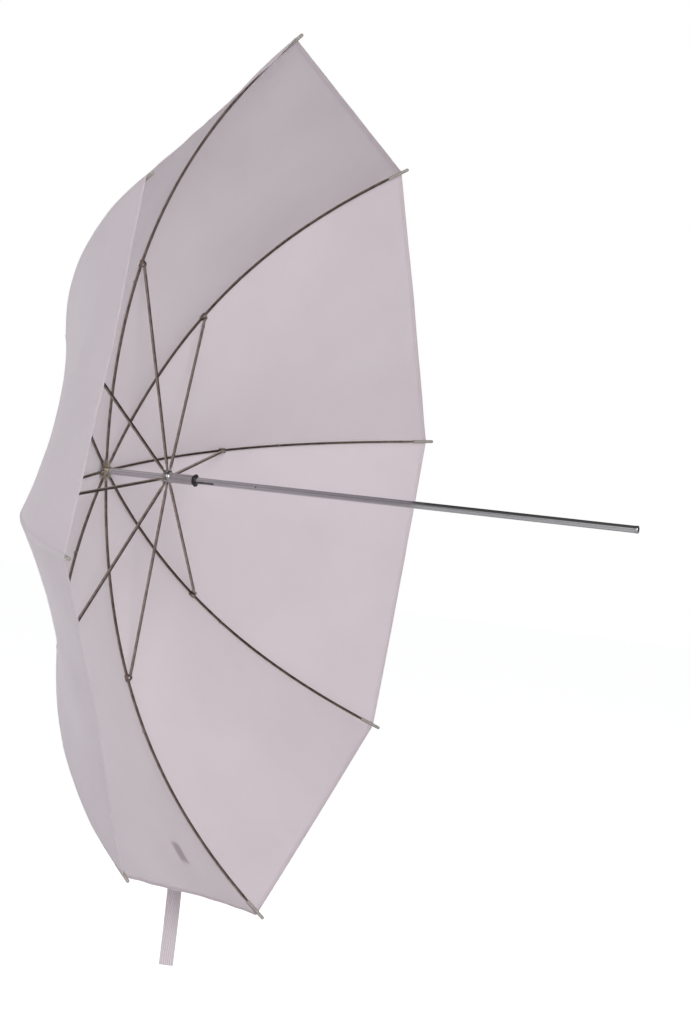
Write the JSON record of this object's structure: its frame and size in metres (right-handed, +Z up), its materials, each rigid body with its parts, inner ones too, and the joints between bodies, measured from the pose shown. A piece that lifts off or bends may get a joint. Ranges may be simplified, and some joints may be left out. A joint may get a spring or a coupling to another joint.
{
  "type": "umbrella reflector",
  "caption": "Translucent shoot-through lighting umbrella with a slim shaft, folding ribs and stretchers on a sliding runner, rib tips and a tie strap.",
  "frame": {"origin": "on the shaft axis at the flat end face of the shaft cap, at the handle end", "axes": "+X along the shaft from the crown to the handle end, +Z up in use"},
  "size_m": [0.6671, 1.001, 1.0431],
  "materials": {
    "chrome": "polished chrome plate",
    "nickel": "nickel plate",
    "brass": "dull brass plate",
    "black_plastic": "satin",
    "rib_steel": "dark satin plate",
    "stretcher_steel": "dark satin plate",
    "tip_plastic": "satin",
    "spring_steel": "satin",
    "cover_cloth": "translucent weave",
    "strap_cloth": "ribbed tape"
  },
  "bodies": {
    "shaft": {"shaft": "chrome", "shaft_end_cap": "nickel", "crown_cap": "black_plastic", "crown_washer": "black_plastic", "top_notch": "brass", "notch_wire": "spring_steel"},
    "runner": {"runner": "nickel", "runner_collar": "black_plastic"},
    "open_catch": {"open_catch": "spring_steel"},
    "strap_mount": {"strap_patch": "strap_cloth"},
    "tie_strap": {"tie_strap": "strap_cloth"},
    "rib_1": {"rib_1": "rib_steel", "joint_clip_1": "rib_steel", "joint_rivet_1": "nickel", "rib_tip_1": "tip_plastic", "canopy_1": "cover_cloth"},
    "stretcher_1": {"stretcher_1": "stretcher_steel"},
    "rib_2": {"rib_2": "rib_steel", "joint_clip_2": "rib_steel", "joint_rivet_2": "nickel", "rib_tip_2": "tip_plastic", "canopy_2": "cover_cloth"},
    "stretcher_2": {"stretcher_2": "stretcher_steel"},
    "rib_3": {"rib_3": "rib_steel", "joint_clip_3": "rib_steel", "joint_rivet_3": "nickel", "rib_tip_3": "tip_plastic", "canopy_3": "cover_cloth"},
    "stretcher_3": {"stretcher_3": "stretcher_steel"},
    "rib_4": {"rib_4": "rib_steel", "joint_clip_4": "rib_steel", "joint_rivet_4": "nickel", "rib_tip_4": "tip_plastic", "canopy_4": "cover_cloth"},
    "stretcher_4": {"stretcher_4": "stretcher_steel"},
    "rib_5": {"rib_5": "rib_steel", "joint_clip_5": "rib_steel", "joint_rivet_5": "nickel", "rib_tip_5": "tip_plastic", "canopy_5": "cover_cloth"},
    "stretcher_5": {"stretcher_5": "stretcher_steel"},
    "rib_6": {"rib_6": "rib_steel", "joint_clip_6": "rib_steel", "joint_rivet_6": "nickel", "rib_tip_6": "tip_plastic", "canopy_6": "cover_cloth"},
    "stretcher_6": {"stretcher_6": "stretcher_steel"},
    "rib_7": {"rib_7": "rib_steel", "joint_clip_7": "rib_steel", "joint_rivet_7": "nickel", "rib_tip_7": "tip_plastic", "canopy_7": "cover_cloth"},
    "stretcher_7": {"stretcher_7": "stretcher_steel"},
    "rib_8": {"rib_8": "rib_steel", "joint_clip_8": "rib_steel", "joint_rivet_8": "nickel", "rib_tip_8": "tip_plastic", "canopy_8": "cover_cloth"},
    "stretcher_8": {"stretcher_8": "stretcher_steel"}
  },
  "joints": [
    {"name": "runner_slide", "type": "slide", "parent": "shaft", "child": "runner", "axis": [1, 0, 0], "range_m": [0, 0.37808]},
    {"name": "catch_press", "type": "slide", "parent": "shaft", "child": "open_catch", "axis": [0, 0.8517, 0.524], "range_m": [0, 0.0009], "stiffness_N_per_m": 150},
    {"name": "rib_hinge_1", "type": "hinge", "parent": "shaft", "child": "rib_1", "pos_m": [-0.6375, -0.00105, 0.00652], "axis": [0, 0.9873, 0.1587], "range_deg": [0, 64], "deforming": ["canopy_1"]},
    {"name": "stretcher_hinge_1", "type": "hinge", "parent": "rib_1", "child": "stretcher_1", "pos_m": [-0.59769, -0.03839, 0.23885], "axis": [0, -0.9873, -0.1587], "range_deg": [0, 128.39]},
    {"name": "rib_hinge_2", "type": "hinge", "parent": "shaft", "child": "rib_2", "pos_m": [-0.6375, 0.00387, 0.00535], "axis": [0, 0.8103, -0.5859], "range_deg": [0, 64], "deforming": ["canopy_2"]},
    {"name": "stretcher_hinge_2", "type": "hinge", "parent": "rib_2", "child": "stretcher_2", "pos_m": [-0.59769, 0.14175, 0.19603], "axis": [0, -0.8103, 0.5859], "range_deg": [0, 128.39]},
    {"name": "rib_hinge_3", "type": "hinge", "parent": "shaft", "child": "rib_3", "pos_m": [-0.6375, 0.00652, 0.00105], "axis": [0, 0.1587, -0.9873], "range_deg": [0, 64], "deforming": ["canopy_3"]},
    {"name": "stretcher_hinge_3", "type": "hinge", "parent": "rib_3", "child": "stretcher_3", "pos_m": [-0.59769, 0.23885, 0.03839], "axis": [0, -0.1587, 0.9873], "range_deg": [0, 128.39]},
    {"name": "rib_hinge_4", "type": "hinge", "parent": "shaft", "child": "rib_4", "pos_m": [-0.6375, 0.00535, -0.00387], "axis": [0, -0.5859, -0.8103], "range_deg": [0, 64], "deforming": ["canopy_4"]},
    {"name": "stretcher_hinge_4", "type": "hinge", "parent": "rib_4", "child": "stretcher_4", "pos_m": [-0.59769, 0.19603, -0.14175], "axis": [0, 0.5859, 0.8103], "range_deg": [0, 128.39]},
    {"name": "rib_hinge_5", "type": "hinge", "parent": "shaft", "child": "rib_5", "pos_m": [-0.6375, 0.00105, -0.00652], "axis": [0, -0.9873, -0.1587], "range_deg": [0, 64], "deforming": ["canopy_5"]},
    {"name": "stretcher_hinge_5", "type": "hinge", "parent": "rib_5", "child": "stretcher_5", "pos_m": [-0.59769, 0.03839, -0.23885], "axis": [0, 0.9873, 0.1587], "range_deg": [0, 128.39]},
    {"name": "rib_hinge_6", "type": "hinge", "parent": "shaft", "child": "rib_6", "pos_m": [-0.6375, -0.00387, -0.00535], "axis": [0, -0.8103, 0.5859], "range_deg": [0, 64], "deforming": ["canopy_6"]},
    {"name": "stretcher_hinge_6", "type": "hinge", "parent": "rib_6", "child": "stretcher_6", "pos_m": [-0.59769, -0.14175, -0.19603], "axis": [0, 0.8103, -0.5859], "range_deg": [0, 128.39]},
    {"name": "rib_hinge_7", "type": "hinge", "parent": "shaft", "child": "rib_7", "pos_m": [-0.6375, -0.00652, -0.00105], "axis": [0, -0.1587, 0.9873], "range_deg": [0, 64], "deforming": ["canopy_7"]},
    {"name": "stretcher_hinge_7", "type": "hinge", "parent": "rib_7", "child": "stretcher_7", "pos_m": [-0.59769, -0.23885, -0.03839], "axis": [0, 0.1587, -0.9873], "range_deg": [0, 128.39]},
    {"name": "rib_hinge_8", "type": "hinge", "parent": "shaft", "child": "rib_8", "pos_m": [-0.6375, -0.00535, 0.00387], "axis": [0, 0.5859, 0.8103], "range_deg": [0, 64], "deforming": ["canopy_8"]},
    {"name": "stretcher_hinge_8", "type": "hinge", "parent": "rib_8", "child": "stretcher_8", "pos_m": [-0.59769, -0.19603, 0.14175], "axis": [0, -0.5859, -0.8103], "range_deg": [0, 128.39]},
    {"name": "strap_gather", "type": "slide", "parent": "rib_5", "child": "strap_mount", "axis": [0, 0.9873, 0.1587], "range_m": [0, 0.11148]},
    {"name": "strap_hang", "type": "hinge", "parent": "strap_mount", "child": "tie_strap", "pos_m": [-0.47098, -0.0545, -0.41632], "axis": [0, 0.9873, 0.1587], "range_deg": [0, 64]}
  ],
  "couplings": [
    {"joint": "rib_hinge_1", "follows": "runner_slide", "rad_per_m": 2.9544},
    {"joint": "stretcher_hinge_1", "follows": "runner_slide", "rad_per_m": 5.9269},
    {"joint": "rib_hinge_2", "follows": "runner_slide", "rad_per_m": 2.9544},
    {"joint": "stretcher_hinge_2", "follows": "runner_slide", "rad_per_m": 5.9269},
    {"joint": "rib_hinge_3", "follows": "runner_slide", "rad_per_m": 2.9544},
    {"joint": "stretcher_hinge_3", "follows": "runner_slide", "rad_per_m": 5.9269},
    {"joint": "rib_hinge_4", "follows": "runner_slide", "rad_per_m": 2.9544},
    {"joint": "stretcher_hinge_4", "follows": "runner_slide", "rad_per_m": 5.9269},
    {"joint": "rib_hinge_5", "follows": "runner_slide", "rad_per_m": 2.9544},
    {"joint": "stretcher_hinge_5", "follows": "runner_slide", "rad_per_m": 5.9269},
    {"joint": "rib_hinge_6", "follows": "runner_slide", "rad_per_m": 2.9544},
    {"joint": "stretcher_hinge_6", "follows": "runner_slide", "rad_per_m": 5.9269},
    {"joint": "rib_hinge_7", "follows": "runner_slide", "rad_per_m": 2.9544},
    {"joint": "stretcher_hinge_7", "follows": "runner_slide", "rad_per_m": 5.9269},
    {"joint": "rib_hinge_8", "follows": "runner_slide", "rad_per_m": 2.9544},
    {"joint": "stretcher_hinge_8", "follows": "runner_slide", "rad_per_m": 5.9269},
    {"joint": "strap_gather", "follows": "runner_slide", "ratio": 0.29485},
    {"joint": "strap_hang", "follows": "runner_slide", "rad_per_m": 2.9544}
  ]
}
